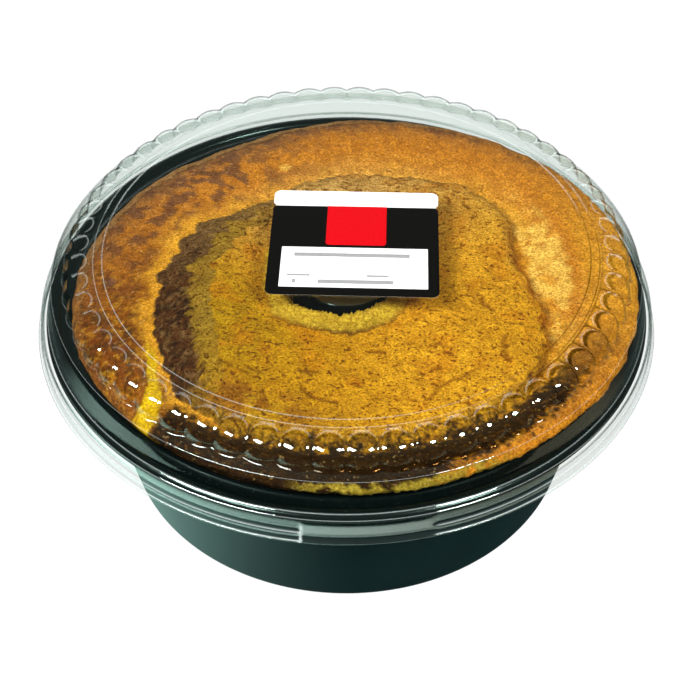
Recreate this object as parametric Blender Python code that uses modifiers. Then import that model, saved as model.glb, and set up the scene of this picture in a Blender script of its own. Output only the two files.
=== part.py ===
"""An angel food cake in its shut retail pack.

One inside the other: a black thermoformed tub with a hollow centre post, the ring cake that was
turned out into it, a clear lid with lobes round its shoulder that clips over the tub's rim, and a
paper label on the lid. The tub's rim is a solid of its own, a hair above the wall that carries it,
so that its collision is a plain ring. Metres, +Z up, origin on the table at the middle of the tub.
The front is -Y.
"""

import math

import bmesh
import bpy

MM = 0.001

# Driving dimensions
LID_RADIUS = 140.0 * MM  # lower edge of the lid's skirt
PACK_HEIGHT = 119.4 * MM  # top of the lid
TUB_FOOT_RADIUS = 105.5 * MM  # where the wall leaves the foot
TUB_MOUTH_RADIUS = 122.0 * MM  # outside of the wall, under the rim
TUB_WALL = 0.8 * MM
LID_WALL = 0.5 * MM
GAP = 0.35 * MM  # clearance between touching pieces

# Tub
WALL_TOP = 84.0 * MM  # where the wall ends and the rim's own solid begins
RIM_HEIGHT = 91.0 * MM  # underside of the rim's flat lip
RIM_RADIUS = 134.9 * MM  # underside of the rim's turned-down edge
FOOT_RISE = 2.0 * MM  # the floor stands off the table inside the foot ring
FOOT_EDGE = 3.4 * MM  # height at which the foot turns up into the wall
POST_HEIGHT = 101.7 * MM  # underside of the post's flat top
POST_TOP_RADIUS = 22.6 * MM
POST_BASE_RADIUS = 30.5 * MM
TUB_STEPS = 48

# Lid
LOBES = 58
SKIRT_BOTTOM = 81.0 * MM
SHELF_HEIGHT = 108.4 * MM  # shelf that the lobes stand on
SHELF_RADIUS = 131.2 * MM
LEDGE_HEIGHT = 93.1 * MM  # ledge that sits on the tub's rim
LEDGE_RADIUS = 134.3 * MM  # inner edge of that ledge
RING_RADIUS = 107.0 * MM  # step round the flat top
LOBE_INNER_RADIUS = 111.5 * MM
LOBE_DEPTH = 2.1 * MM  # how far a lobe stands out of the valleys beside it

# Cake
CAKE_STEPS = 56
CAKE_RADIUS = 122.3 * MM  # mean overhang of the crust over the rim
HOLE_RADIUS = 34.2 * MM
CAKE_BOTTOM = FOOT_RISE + TUB_WALL + GAP
PLATEAU_HEIGHT = 109.0 * MM  # torn crumb in the middle
SKIN_HEIGHT = 102.0 * MM  # smooth golden ring round it
OVERHANG_HEIGHT = 96.5 * MM  # widest point of the crust
CLEAR_OF_RIM = 93.6 * MM  # underside of the overhang

# Label
LABEL_WIDTH = 74.6 * MM
LABEL_STRIP = (24.6 * MM, 35.0 * MM)  # white strip, lower and upper edge
LABEL_BODY = (-36.2 * MM, 23.8 * MM)  # dark body, lower and upper edge
LABEL_CORNER = 3.2 * MM
LABEL_THICKNESS = 0.2 * MM
LABEL_PLACE = (3.5 * MM, -0.4 * MM)
LABEL_TURN = math.radians(-1.8)


def clear_scene():
    """Takes the start-up objects out of the file."""
    for thing in list(bpy.data.objects):
        bpy.data.objects.remove(thing, do_unlink=True)


def material(name, colour, roughness, metallic=0.0, alpha=1.0):
    """A Principled material with one colour and finish."""
    made = bpy.data.materials.new(name)
    made.use_nodes = True
    shader = made.node_tree.nodes["Principled BSDF"]
    shader.inputs["Base Color"].default_value = (*colour, 1.0)
    shader.inputs["Roughness"].default_value = roughness
    shader.inputs["Metallic"].default_value = metallic
    shader.inputs["Alpha"].default_value = alpha
    return made


def add_part(collection, name, mesh, finish):
    """Puts a mesh into the collection as a named object with its own material."""
    part = bpy.data.objects.new(name, mesh)
    mesh.materials.append(finish)
    collection.objects.link(part)
    return part


def smooth_step(low, high, value):
    """0 below low, 1 above high, and an even ramp between them."""
    share = min(1.0, max(0.0, (value - low) / (high - low)))
    return share * share * (3.0 - 2.0 * share)


def bump(angle, centre, width):
    """A bell of height 1 round the cake, with centre and width in degrees."""
    off = (math.degrees(angle) - centre + 180.0) % 360.0 - 180.0
    return math.exp(-((off / width) ** 2))


def wobble(angle, seed):
    """A slow uneven wave between about -1 and 1 that closes on itself."""
    waves = ((3, 0.4), (5, 0.3), (8, 0.2), (13, 0.1))
    return sum(size * math.sin(count * angle + seed * count) for count, size in waves)


# Tub ---------------------------------------------------------------------------------------------

def wall_radius(height):
    """Outside of the tub's tapered wall at a height."""
    share = (height - FOOT_EDGE) / (RIM_HEIGHT - 2.5 * MM - FOOT_EDGE)
    return TUB_FOOT_RADIUS + share * (TUB_MOUTH_RADIUS - TUB_FOOT_RADIUS)


def tub_profile():
    """Underside of the tub, from the middle of the post out to the top of its wall."""
    return [
        (0.0, POST_HEIGHT),
        (POST_TOP_RADIUS - 2.1 * MM, POST_HEIGHT),
        (POST_TOP_RADIUS, POST_HEIGHT - 1.5 * MM),
        (POST_BASE_RADIUS, FOOT_RISE + 3.0 * MM),
        (POST_BASE_RADIUS + 2.5 * MM, FOOT_RISE),
        (90.0 * MM, FOOT_RISE),
        (93.0 * MM, 0.0),
        (102.0 * MM, 0.0),
        (TUB_FOOT_RADIUS, FOOT_EDGE),
        (wall_radius(WALL_TOP), WALL_TOP),
    ]


def rim_profile():
    """Underside of the rim, from the top of the wall out to its turned-down edge."""
    return [
        (wall_radius(WALL_TOP + GAP), WALL_TOP + GAP),
        (TUB_MOUTH_RADIUS, RIM_HEIGHT - 2.5 * MM),
        (TUB_MOUTH_RADIUS + 1.4 * MM, RIM_HEIGHT),
        (TUB_MOUTH_RADIUS + 3.6 * MM, RIM_HEIGHT - 1.3 * MM),
        (RIM_RADIUS - 5.6 * MM, RIM_HEIGHT - 1.3 * MM),
        (RIM_RADIUS - 4.6 * MM, RIM_HEIGHT),
        (RIM_RADIUS - 1.2 * MM, RIM_HEIGHT),
        (RIM_RADIUS, RIM_HEIGHT - 3.2 * MM),
    ]


def make_turned_sheet(collection, name, profile):
    """A turned sheet of black plastic, which Solidify gives its wall on the upper side."""
    mesh = bpy.data.meshes.new(name)
    edges = [(i, i + 1) for i in range(len(profile) - 1)]
    mesh.from_pydata([(r, 0.0, z) for r, z in profile], edges, [])
    finish = material("black_plastic", (0.010, 0.020, 0.021), 0.22)
    sheet = add_part(collection, name, mesh, finish)

    turn = sheet.modifiers.new("turn", "SCREW")
    turn.steps = TUB_STEPS
    turn.render_steps = TUB_STEPS
    turn.use_merge_vertices = True
    turn.merge_threshold = 0.00001
    turn.use_smooth_shade = True

    wall = sheet.modifiers.new("wall", "SOLIDIFY")
    wall.thickness = TUB_WALL
    wall.offset = 1.0
    return sheet


# Cake --------------------------------------------------------------------------------------------

def crust_radius(angle):
    """Outer edge of the crust, which leans over the rim on the right and falls short at the back left."""
    lean = 4.5 * math.cos(angle - math.radians(5.0))
    return CAKE_RADIUS + (lean - 6.5 * bump(angle, 120.0, 18.0) + 0.7 * wobble(angle, 1.0)) * MM


def plateau_radius(angle):
    """Ragged outer edge of the raised crumb, widest at the front and narrow behind."""
    degrees = math.degrees(angle) % 360.0
    front = smooth_step(198.0, 232.0, degrees) * (1.0 - smooth_step(322.0, 346.0, degrees))
    behind = bump(angle, 112.0, 42.0)
    return (82.5 + 23.0 * front - 19.0 * behind + 1.5 * wobble(angle, 2.0)) * MM


def slope_width(angle):
    """Width of the bank between the plateau's top and its foot, broad and dark on the left."""
    return (9.0 + 11.0 * bump(angle, 185.0, 42.0)) * MM


def chamfer_width(angle):
    """How far the crumb is torn back from the hole, most at the front."""
    return (2.0 + 9.5 * bump(angle, 282.0, 52.0)) * MM


def cake_section(angle):
    """The closed outline of the cake at one angle, from the bottom of the hole round to its foot."""
    crust = crust_radius(angle)
    foot = plateau_radius(angle)
    top = foot - slope_width(angle)
    torn = HOLE_RADIUS + 1.2 * MM + chamfer_width(angle)
    neck = TUB_MOUTH_RADIUS - TUB_WALL - 2.0 * GAP
    heel = wall_radius(7.5 * MM) - TUB_WALL - 2.0 * GAP
    within = min(0.0, crust - 2.0 * MM - neck)
    return [
        (HOLE_RADIUS, CAKE_BOTTOM),
        (HOLE_RADIUS + 0.4 * MM, 60.0 * MM),
        (HOLE_RADIUS + 1.0 * MM, 103.0 * MM),
        (torn, PLATEAU_HEIGHT - 2.0 * MM),
        (0.55 * torn + 0.45 * top, PLATEAU_HEIGHT - 0.4 * MM),
        (top, PLATEAU_HEIGHT),
        (foot - 0.35 * slope_width(angle), 0.45 * PLATEAU_HEIGHT + 0.55 * SKIN_HEIGHT),
        (foot, SKIN_HEIGHT - 0.8 * MM),
        (0.5 * (foot + crust) - 2.0 * MM, SKIN_HEIGHT + 0.6 * MM),
        (crust - 4.0 * MM, SKIN_HEIGHT - 1.4 * MM),
        (crust, OVERHANG_HEIGHT + 0.6 * MM),
        (crust - 2.0 * MM, CLEAR_OF_RIM),
        (neck + 0.2 * MM + within, CLEAR_OF_RIM - 0.7 * MM),
        (neck - 0.2 * MM + within, RIM_HEIGHT - 4.0 * MM),
        (heel + 0.6 * within, 7.5 * MM),
        (heel - 4.0 * MM, CAKE_BOTTOM),
    ]


def make_cake(collection):
    """The ring cake: one outline is spun round, and each copy then takes its own angle's outline."""
    mesh = bpy.data.meshes.new("cake")
    shape = bmesh.new()
    order = shape.verts.layers.int.new("order")
    section = cake_section(0.0)
    ring = [shape.verts.new((r, 0.0, z)) for r, z in section]
    loop = [shape.edges.new((ring[i - 1], ring[i])) for i in range(len(ring))]
    for i, vert in enumerate(ring):
        vert[order] = i
    bmesh.ops.spin(
        shape, geom=ring + loop, axis=(0, 0, 1), cent=(0, 0, 0), dvec=(0, 0, 0),
        angle=2.0 * math.pi, steps=CAKE_STEPS, use_merge=True, use_duplicate=False,
    )
    for vert in shape.verts:
        angle = math.atan2(vert.co.y, vert.co.x)
        radius, height = cake_section(angle)[vert[order]]
        vert.co = (radius * math.cos(angle), radius * math.sin(angle), height)
    bmesh.ops.recalc_face_normals(shape, faces=shape.faces)
    bmesh.ops.triangulate(shape, faces=shape.faces)
    shape.to_mesh(mesh)
    shape.free()
    mesh.shade_smooth()
    mesh.set_sharp_from_angle(angle=math.radians(50.0))
    return add_part(collection, "cake", mesh, material("baked_crumb", (0.52, 0.27, 0.05), 0.85))


# Lid ---------------------------------------------------------------------------------------------

def lid_profile():
    """Outside of the lid from the middle of its top to the skirt's edge, and each point's share of a lobe."""
    return [
        (0.0, PACK_HEIGHT, 0.0),
        (RING_RADIUS, PACK_HEIGHT, 0.0),
        (LOBE_INNER_RADIUS, PACK_HEIGHT - 1.1 * MM, 0.0),
        (116.2 * MM, PACK_HEIGHT - 1.1 * MM, 0.6),
        (122.2 * MM, PACK_HEIGHT - 2.9 * MM, 1.0),
        (125.8 * MM, SHELF_HEIGHT + 4.0 * MM, 1.0),
        (126.4 * MM, SHELF_HEIGHT, 0.9),
        (SHELF_RADIUS, SHELF_HEIGHT, 0.0),
        (LEDGE_RADIUS, LEDGE_HEIGHT, 0.0),
        (LEDGE_RADIUS + 3.0 * MM, LEDGE_HEIGHT - 0.6 * MM, 0.0),
        (LID_RADIUS, SKIRT_BOTTOM, 0.0),
    ]


def make_lid(collection):
    """The clear lid: its outline is spun with two steps to a lobe, and every second step is a valley."""
    mesh = bpy.data.meshes.new("lid")
    shape = bmesh.new()
    order = shape.verts.layers.int.new("order")
    profile = lid_profile()
    line = [shape.verts.new((r, 0.0, z)) for r, z, _ in profile]
    edges = [shape.edges.new((line[i], line[i + 1])) for i in range(len(line) - 1)]
    for i, vert in enumerate(line):
        vert[order] = i
    bmesh.ops.spin(
        shape, geom=line + edges, axis=(0, 0, 1), cent=(0, 0, 0), dvec=(0, 0, 0),
        angle=2.0 * math.pi, steps=2 * LOBES, use_merge=True, use_duplicate=False,
    )
    bmesh.ops.remove_doubles(shape, verts=shape.verts, dist=0.00001)
    for vert in shape.verts:
        share = profile[vert[order]][2]
        turn = math.atan2(vert.co.y, vert.co.x) * LOBES
        valley = 0.5 - 0.5 * math.cos(turn)
        sink = LOBE_DEPTH * share * valley
        outward = vert.co.xy.length
        if outward > 0.0:
            scale = (outward - sink) / outward
            steep = smooth_step(SHELF_HEIGHT, SHELF_HEIGHT + 4.0 * MM, vert.co.z)
            vert.co = (vert.co.x * scale, vert.co.y * scale, vert.co.z - 0.7 * sink * steep)
    bmesh.ops.recalc_face_normals(shape, faces=shape.faces)
    shape.to_mesh(mesh)
    shape.free()
    mesh.shade_smooth()
    mesh.set_sharp_from_angle(angle=math.radians(35.0))
    finish = material("clear_plastic", (0.80, 0.86, 0.84), 0.05, alpha=0.3)
    lid = add_part(collection, "lid", mesh, finish)

    wall = lid.modifiers.new("wall", "SOLIDIFY")
    wall.thickness = LID_WALL
    wall.offset = -1.0
    return lid


# Label -------------------------------------------------------------------------------------------

def corner(x, y, radius, start):
    """Points of a quarter circle about (x, y), anticlockwise from the start angle in degrees."""
    turns = [math.radians(start + 22.5 * step) for step in range(5)]
    return [(x + radius * math.cos(turn), y + radius * math.sin(turn)) for turn in turns]


def label_outline():
    """One outline round the dark body and the white strip above it, nicked where the two meet."""
    half = LABEL_WIDTH / 2.0 - LABEL_CORNER
    body_low, body_high = LABEL_BODY
    strip_low, strip_high = LABEL_STRIP
    nick = (LABEL_WIDTH / 2.0 - 1.2 * MM, (body_high + strip_low) / 2.0)
    right = corner(half, body_low + LABEL_CORNER, LABEL_CORNER, -90.0)
    right += [(LABEL_WIDTH / 2.0, body_high - 2.0 * MM), nick, (LABEL_WIDTH / 2.0, strip_low + 2.0 * MM)]
    right += corner(half, strip_high - LABEL_CORNER, LABEL_CORNER, 0.0)
    left = [(-x, y) for x, y in reversed(right)]
    return right + left


def make_label(collection):
    """The paper label, a flat closed curve with the paper's thickness, made into a mesh."""
    flat = bpy.data.curves.new("label_outline", "CURVE")
    flat.dimensions = "2D"
    flat.fill_mode = "BOTH"
    flat.extrude = LABEL_THICKNESS / 2.0
    outline = label_outline()
    spline = flat.splines.new("POLY")
    spline.points.add(len(outline) - 1)
    for point, (x, y) in zip(spline.points, outline):
        point.co = (x, y, 0.0, 1.0)
    spline.use_cyclic_u = True
    guide = bpy.data.objects.new("label_outline", flat)
    collection.objects.link(guide)
    bpy.context.view_layer.update()

    depsgraph = bpy.context.evaluated_depsgraph_get()
    mesh = bpy.data.meshes.new_from_object(guide.evaluated_get(depsgraph))
    mesh.name = "label"
    mesh.materials.clear()
    bpy.data.objects.remove(guide, do_unlink=True)
    shape = bmesh.new()
    shape.from_mesh(mesh)
    bmesh.ops.remove_doubles(shape, verts=shape.verts, dist=0.00001)
    bmesh.ops.recalc_face_normals(shape, faces=shape.faces)
    shape.to_mesh(mesh)
    shape.free()

    label = add_part(collection, "label", mesh, material("label_paper", (0.03, 0.03, 0.028), 0.5))
    label.location = (*LABEL_PLACE, PACK_HEIGHT + GAP + LABEL_THICKNESS / 2.0)
    label.rotation_euler = (0.0, 0.0, LABEL_TURN)
    return label


def main():
    clear_scene()
    collection = bpy.data.collections.new("angel_food_cake_pack")
    bpy.context.scene.collection.children.link(collection)
    make_turned_sheet(collection, "tub", tub_profile())
    make_turned_sheet(collection, "tub_rim", rim_profile())
    make_cake(collection)
    make_lid(collection)
    make_label(collection)
    bpy.context.view_layer.update()


main()
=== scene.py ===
# %% [markdown]
# # An angel food cake in its shut retail pack
#
# The pack is one thing made of four: a black tub drawn from a thin sheet, the ring cake that was
# turned out into it, a clear lid with a row of soft lobes round its shoulder, and a paper label.
# The solids come first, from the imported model. They give every place and size, and the pieces made
# here are dressed over them: each new piece is finer than the solid that it stands for.

import math

import bmesh
import bpy
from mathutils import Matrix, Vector, noise


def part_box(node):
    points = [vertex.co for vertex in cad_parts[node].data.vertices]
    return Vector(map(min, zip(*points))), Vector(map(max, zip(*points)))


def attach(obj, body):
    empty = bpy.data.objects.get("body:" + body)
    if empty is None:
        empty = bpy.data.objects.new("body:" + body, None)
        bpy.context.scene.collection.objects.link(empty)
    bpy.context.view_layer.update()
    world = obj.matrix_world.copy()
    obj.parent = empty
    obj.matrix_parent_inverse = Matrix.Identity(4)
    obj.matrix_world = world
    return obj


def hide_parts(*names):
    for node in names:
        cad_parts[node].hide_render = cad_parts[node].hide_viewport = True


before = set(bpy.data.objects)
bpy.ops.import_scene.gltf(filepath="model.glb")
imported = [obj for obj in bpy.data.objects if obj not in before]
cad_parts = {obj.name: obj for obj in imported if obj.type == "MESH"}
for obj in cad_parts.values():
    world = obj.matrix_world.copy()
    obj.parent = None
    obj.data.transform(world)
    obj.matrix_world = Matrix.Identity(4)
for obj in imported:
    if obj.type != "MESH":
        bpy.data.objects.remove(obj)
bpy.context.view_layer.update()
MM = 0.001
print("solids:", sorted(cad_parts))

# %% [markdown]
# ## Light, floor and camera
#
# A shop pack is shown on plain white. Two soft lamps stand high in front of it: an oblong one on the
# left, which gives most of the light, and a round one on the right. Each clear lobe shows both as a
# pair of small glints, so their shapes matter as much as their power. A long low strip behind draws
# the bright edges at the back of the lid. One big lamp would be simpler, but it turns the lid milky
# and hides the cake. The room itself is nearly dark, because all that it gives is haze in the lid.

# %% Scene basics
scene = bpy.context.scene
scene.view_settings.view_transform = "Standard"
scene.view_settings.look = "None"


def paint(red, green, blue):
    """A colour given as it looks on screen, 0 to 255, turned into the light values that shaders use."""
    shares = [v / 255.0 for v in (red, green, blue)]
    return tuple(s / 12.92 if s <= 0.04045 else ((s + 0.055) / 1.055) ** 2.4 for s in shares)


def add_object(name, data):
    """Puts data into the scene as a named object at the origin."""
    made = bpy.data.objects.new(name, data)
    scene.collection.objects.link(made)
    return made


LAMP_AIM = Vector((0.0, 0.0, 0.1))  # all lamps look at the middle of the pack, in metres


def add_lamp(name, shape, size, place, power):
    """An area lamp of a given shape and size in metres, with its power in watts."""
    lamp = bpy.data.lights.new(name, "AREA")
    lamp.shape = shape
    lamp.size = size[0]
    lamp.size_y = size[1]
    lamp.energy = power
    made = add_object(name, lamp)
    made.location = place
    made.rotation_euler = (LAMP_AIM - Vector(place)).to_track_quat("-Z", "Y").to_euler()
    return made


add_lamp("soft_oblong", "RECTANGLE", (0.60, 0.30), (-0.62, -0.52, 1.00), 20.3)
add_lamp("soft_round", "DISK", (0.34, 0.34), (0.58, -0.58, 0.98), 11.6)
add_lamp("back_strip", "RECTANGLE", (1.80, 0.40), (0.0, 1.30, 0.29), 3.6)

# %% Camera
lens = bpy.data.cameras.new("camera")
lens.lens = 77.14
lens.sensor_width = 36.0
lens.clip_start = 0.05
lens.clip_end = 20.0
camera = add_object("camera", lens)
camera.location = (0.0016, -0.5103, 0.5461)
camera.rotation_euler = (math.radians(45.95), 0.0, 0.0)
scene.camera = camera
print("camera, in metres from the pack's foot:", round(camera.location.length, 3))

# %% [markdown]
# ## Writing finishes as sums
#
# A finish is a small net of nodes. Laying them one by one hides the idea, so a wire is wrapped in a
# class that knows + - * and **, also with a plain number in front, and each sum adds its own Math
# node. Every other node comes from one method, which takes the node's type, its settings and what
# goes into its sockets. Colours never pass through Math, only through Mix and Vector Math.


# %% A wire with arithmetic
class Wire:
    """One output socket in a material's nodes. Sums of wires add Math nodes."""

    def __init__(self, tree, socket=None):
        self.tree = tree
        self.socket = socket

    def node(self, kind, settings=None, sockets=None, output=0):
        """Adds a node of any type: first its settings, then the values or wires of its sockets."""
        made = self.tree.nodes.new("ShaderNode" + kind)
        for name, value in (settings or {}).items():
            setattr(made, name, value)
        for name, value in (sockets or {}).items():
            if isinstance(value, Wire):
                self.tree.links.new(value.socket, made.inputs[name])
            else:
                made.inputs[name].default_value = value
        return Wire(self.tree, made.outputs[output])

    def sum(self, operation, first, second):
        return self.node("Math", {"operation": operation}, {0: first, 1: second})

    def __add__(self, other):
        return self.sum("ADD", self, other)

    def __radd__(self, other):
        return self.sum("ADD", other, self)

    def __sub__(self, other):
        return self.sum("SUBTRACT", self, other)

    def __rsub__(self, other):
        return self.sum("SUBTRACT", other, self)

    def __mul__(self, other):
        return self.sum("MULTIPLY", self, other)

    def __rmul__(self, other):
        return self.sum("MULTIPLY", other, self)

    def __pow__(self, other):
        return self.sum("POWER", self, other)

    def step(self, low, high):
        """0 below low, 1 above high, with a soft ramp between them."""
        settings = {"interpolation_type": "SMOOTHSTEP"}
        return self.node("MapRange", settings, {"Value": self, "From Min": low, "From Max": high})

    def between(self, first, second):
        """The first colour where this wire is 0 and the second where it is 1."""
        colours = {0: self, 6: first, 7: second}
        for key in (6, 7):
            if not isinstance(colours[key], Wire):
                colours[key] = (*colours[key], 1.0)
        return self.node("Mix", {"data_type": "RGBA"}, colours, output=2)


def new_finish(name):
    """An empty material with a Principled shader: the material, its shader node and a first wire."""
    made = bpy.data.materials.new(name)
    made.use_nodes = True
    tree = made.node_tree
    return made, tree.nodes["Principled BSDF"], Wire(tree)


def join(wire, node, name):
    """Leads a wire into a named socket of a node."""
    wire.tree.links.new(wire.socket, node.inputs[name])


def own_place(wires):
    """Where a point lies on the piece itself, in metres."""
    return wires.node("TexCoord", {}, {}, output=3)


def part_of(wires, place, axis):
    """One number of a place: 0 across, 1 back and 2 up."""
    return wires.node("SeparateXYZ", {}, {"Vector": place}, output=axis)


def noted(wires, name):
    """A number that was noted on the mesh under a name."""
    return wires.node("Attribute", {"attribute_name": name}, {}, output=2)


def speckle(wires, place, scale, detail=2.0, roughness=0.5):
    """Plain noise on a place, from about 0 to 1."""
    sockets = {"Vector": place, "Scale": scale, "Detail": detail, "Roughness": roughness}
    return wires.node("TexNoise", {}, sockets)


# %% [markdown]
# ## The room and the white board
#
# The pack stands on a white board. The board shines by itself, so it stays an even white and the
# shade of the pack on it stays faint, and a round wall of the same white closes the view behind it.
# Gloss would mirror all that white and turn the black tub grey, where a real board fades into the
# room. So the board is kept out of reflections, and a disc that only gloss can see stands in for it,
# bright where the tub's wall catches the light and dark elsewhere.

# %% Room
world = bpy.data.worlds.new("studio")
scene.world = world
world.use_nodes = True
room = Wire(world.node_tree)
height = room.node("SeparateXYZ", {}, {"Vector": room.node("TexCoord", {}, {}, output=0)}, output=2)
shade = height.step(-0.15, 0.25).between((0.012, 0.017, 0.016), (0.070, 0.080, 0.077))
join(shade, world.node_tree.nodes["Background"], "Color")
print("nodes in the room:", len(world.node_tree.nodes))


# %% Floor
def glow_finish():
    """What the gloss of the pack sees below it: a white board with painted shade, which fades to the right
    and is dark behind and close to the tub on its right.
    """
    made, shader, wires = new_finish("board_glow")
    place = own_place(wires)
    across = part_of(wires, place, 0)
    back = part_of(wires, place, 1).step(-0.10, 0.03)
    far = wires.node("VectorMath", {"operation": "LENGTH"}, {0: place}, output=1)
    # painted shade: the reflected board is dimmer and warmer to the right, dark close to the tub's right
    # and dark behind
    side = across.step(-0.20, 0.26).between((1.05, 1.45, 1.32), (0.42, 0.36, 0.26))
    near = across.step(-0.18, 0.01).between((0.72, 1.25, 1.08), (0.015, 0.03, 0.03))
    front = far.step(0.165, 0.205).between(near, side)
    join(back.between(front, (0.03, 0.04, 0.04)), shader, "Emission Color")
    shader.inputs["Emission Strength"].default_value = 1.0
    shader.inputs["Base Color"].default_value = (0.0, 0.0, 0.0, 1.0)
    return made


def floor_finish():
    """White board that shines a little, so that it stays even."""
    made, shader, wires = new_finish("white_board")
    place = own_place(wires)
    grain = speckle(wires, place, 60.0)
    join(grain.between((0.03, 0.03, 0.03), (0.04, 0.04, 0.04)), shader, "Base Color")
    shader.inputs["Roughness"].default_value = 0.95
    shader.inputs["Specular IOR Level"].default_value = 0.0
    shader.inputs["Emission Color"].default_value = (1.0, 1.0, 1.0, 1.0)
    shader.inputs["Emission Strength"].default_value = 1.0
    return made


def add_stage_sheet(name, sheet, finish, hidden_from):
    """Turns a bmesh into a piece of the stage that some kinds of ray don't meet."""
    mesh = bpy.data.meshes.new(name)
    sheet.to_mesh(mesh)
    sheet.free()
    mesh.materials.append(finish)
    made = add_object(name, mesh)
    for kind in hidden_from:
        setattr(made, "visible_" + kind, False)
    return made


# %% Stage pieces
BOARD_HALF = 3.0  # metres
BACKDROP_RADIUS = 2.9
BACKDROP_DEPTH = 4.0  # half of it stands above the board
GLOW_RADIUS = 0.30
GLOW_DROP = 0.001  # the disc lies just under the board

white_board = floor_finish()
sheet = bmesh.new()
bmesh.ops.create_grid(sheet, x_segments=1, y_segments=1, size=BOARD_HALF)
floor = add_stage_sheet("floor", sheet, white_board, ["glossy"])

sheet = bmesh.new()
bmesh.ops.create_cone(
    sheet, segments=96, cap_ends=False,
    radius1=BACKDROP_RADIUS, radius2=BACKDROP_RADIUS, depth=BACKDROP_DEPTH,
)
backdrop = add_stage_sheet("backdrop", sheet, white_board, ["glossy", "diffuse", "shadow"])

sheet = bmesh.new()
bmesh.ops.create_circle(sheet, cap_ends=True, segments=64, radius=GLOW_RADIUS)
bmesh.ops.translate(sheet, verts=sheet.verts, vec=(0.0, 0.0, -GLOW_DROP))
glow = add_stage_sheet("board_glow", sheet, glow_finish(), ["camera", "diffuse", "shadow"])
print("stage:", [piece.name for piece in (floor, backdrop, glow)])

# %% [markdown]
# ## Turned sheets
#
# The tub and the lid are both drawn from a flat sheet over a turned mould, so each is one line spun round
# the axis, with the sheet's thickness added afterwards. Spinning a bare line and letting Solidify grow the
# wall keeps the two faces of the wall an even distance apart, which a clear sheet needs. Corners of a drawn
# sheet are never sharp: each corner of the tub's line is rounded first, and the lid's line is given with
# its roundings among its own points.


# %% Lines and spinning
CORNER_STEPS = 4


def rounded(line, reach):
    """A line whose inner corners are replaced by short curves that start at most reach before them."""
    made = [line[0]]
    for before, corner, after in zip(line, line[1:], line[2:]):
        corner = Vector(corner)
        arms = [Vector(before) - corner, Vector(after) - corner]
        start, end = [corner + arm.normalized() * min(reach, 0.45 * arm.length) for arm in arms]
        for step in range(CORNER_STEPS + 1):
            share = step / CORNER_STEPS
            first = start.lerp(corner, share)
            second = corner.lerp(end, share)
            made.append(tuple(first.lerp(second, share)))
    made.append(line[-1])
    return made


def spin_line(line, steps, closed=False):
    """A bmesh made of a line of (radius, height) in millimetres, spun once round the axis.

    Each vert keeps its number along the line in the layer "row"."""
    shape = bmesh.new()
    row = shape.verts.layers.int.new("row")
    ring = [shape.verts.new((r * MM, 0.0, z * MM)) for r, z in line]
    pairs = list(zip(ring, ring[1:]))
    if closed:
        pairs.append((ring[-1], ring[0]))
    edges = [shape.edges.new(pair) for pair in pairs]
    for number, vert in enumerate(ring):
        vert[row] = number
    bmesh.ops.spin(
        shape, geom=ring + edges, axis=(0, 0, 1), cent=(0, 0, 0), dvec=(0, 0, 0),
        angle=2.0 * math.pi, steps=steps, use_merge=True, use_duplicate=False,
    )
    bmesh.ops.remove_doubles(shape, verts=shape.verts, dist=0.000001)
    return shape, row


def finish_mesh(name, shape, finish, sharp=None):
    """Turns a bmesh into a smooth-shaded object that faces outwards."""
    bmesh.ops.recalc_face_normals(shape, faces=shape.faces)
    mesh = bpy.data.meshes.new(name)
    shape.to_mesh(mesh)
    shape.free()
    mesh.shade_smooth()
    if sharp is not None:
        mesh.set_sharp_from_angle(angle=math.radians(sharp))
    mesh.materials.append(finish)
    return add_object(name, mesh)


def add_wall(piece, thickness, offset):
    """Gives a sheet its thickness, to one side of the modelled face."""
    wall = piece.modifiers.new("wall", "SOLIDIFY")
    wall.thickness = thickness * MM
    wall.offset = offset
    return piece


def count_faces(piece):
    """Triangles of a piece with its modifiers."""
    mesh = piece.evaluated_get(bpy.context.evaluated_depsgraph_get()).to_mesh()
    mesh.calc_loop_triangles()
    return len(mesh.loop_triangles)


print("points of one rounded corner:", len(rounded(((0.0, 0.0), (4.0, 0.0), (4.0, 4.0)), 1.0)) - 2)


# %% [markdown]
# ## The black tub
#
# The tub is glossy blue-black sheet, about 0.8 mm thick. Its wall leans out by some ten degrees, a hollow
# post stands in the middle to fit the hole of the cake, and the rim runs through a bead, a channel and a
# flat lip before it turns down. Its gloss is close to a mirror, with the faint haze and long waves that
# drawn plastic has, so the finish is a dark base, a low roughness that wanders a little, and a bump too
# slow to be seen as texture. The colour goes by height: inside the rim the sheet is darker with painted
# shade, for the shade of the lid, and the flat top of the post gets a painted sheen, a light brown
# reflection of the cake and label above it.

# %% Tub finish
SHADED_FROM = 84.0 * MM  # above this the tub lies in the shade of the lid
POST_TOP = 101.1 * MM  # above this the flat top of the post gets a painted sheen, a reflection of the cake and label above it


def tub_finish():
    made, shader, wires = new_finish("tub_black_plastic")
    place = own_place(wires)
    haze = speckle(wires, place, 35.0, 3.0)
    specks = speckle(wires, place, 900.0, 1.0).step(0.72, 0.80)
    height = part_of(wires, place, 2)
    base = haze.between(paint(9, 25, 26), paint(16, 38, 38))
    # painted shade: inside the rim the tub is coloured darker, for the shade of the lid
    base = height.step(SHADED_FROM, SHADED_FROM + 3.0 * MM).between(base, paint(5, 11, 11))
    # painted sheen: the flat top of the post is coloured light brown, a reflection of the cake and label
    # above it
    base = height.step(POST_TOP, POST_TOP + 0.4 * MM).between(base, paint(136, 118, 88))
    join((specks * 0.25).between(base, paint(90, 105, 102)), shader, "Base Color")
    join(0.13 + 0.10 * haze, shader, "Roughness")
    waves = speckle(wires, place, 14.0, 1.0)
    bump = wires.node("Bump", {}, {"Strength": 0.35, "Distance": 0.0008, "Height": waves})
    join(bump, shader, "Normal")
    shader.inputs["IOR"].default_value = 1.5
    shader.inputs["Specular Tint"].default_value = (0.72, 1.0, 0.93, 1.0)
    return made


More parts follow.
